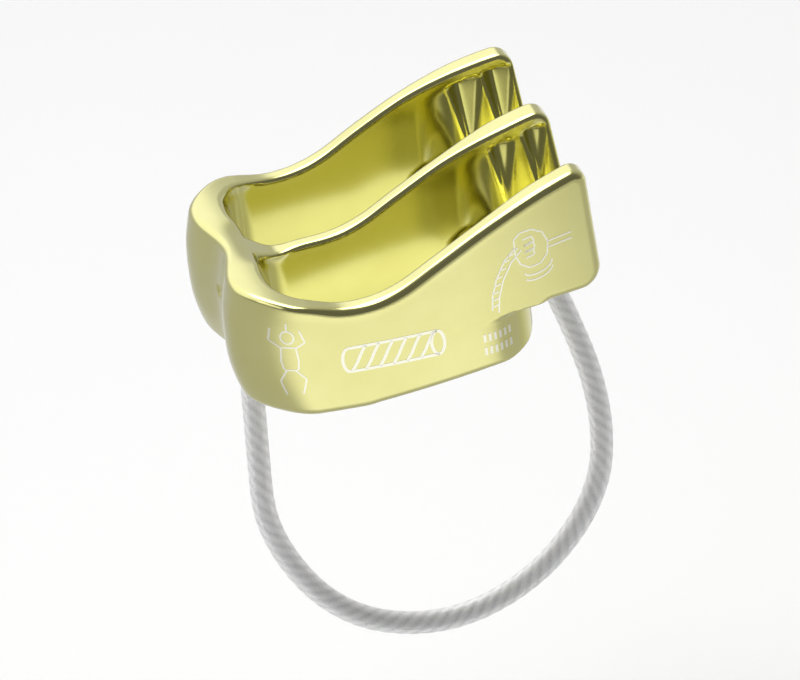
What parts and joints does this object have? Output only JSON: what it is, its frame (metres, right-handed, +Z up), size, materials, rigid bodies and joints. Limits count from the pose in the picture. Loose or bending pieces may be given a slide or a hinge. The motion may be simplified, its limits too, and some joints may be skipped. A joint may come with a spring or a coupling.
{
  "type": "belay device",
  "caption": "Two-slot tubular belay device: forged aluminium body with ribbed V-shaped brake channels and a springy sheathed wire keeper loop",
  "frame": {"origin": "middle of the flat bottom of the forging, where the carabiner is drawn up against it", "axes": "+X towards the brake end with the tall fins, +Y across the two rope slots, +Z up out of the slots; the keeper loop hangs in the plane y = 0"},
  "size_m": [0.0602, 0.0492, 0.0871],
  "materials": {
    "anodised_forging": "yellow-green anodised, satin outside and polished on the rim",
    "steel_rope": "galvanised wire rope",
    "clear_sheath": "milky clear extruded plastic",
    "ferrule_steel": "crimped steel"
  },
  "bodies": {
    "forging": {"body": "anodised_forging", "tail_rope_end": "clear_sheath", "tail_ferrule": "ferrule_steel", "brake_rope_end": "clear_sheath", "brake_ferrule": "ferrule_steel"},
    "keeper_loop": {"keeper_rope": "steel_rope", "keeper_sheath": "clear_sheath"}
  },
  "joints": [
    {"name": "keeper_loop_flex", "type": "hinge", "parent": "forging", "child": "keeper_loop", "pos_m": [-0.0235, 0, 0.003], "axis": [0.9721, 0, 0.2346], "range_deg": [-25, 25], "stiffness_Nm_per_rad": 0.15}
  ]
}
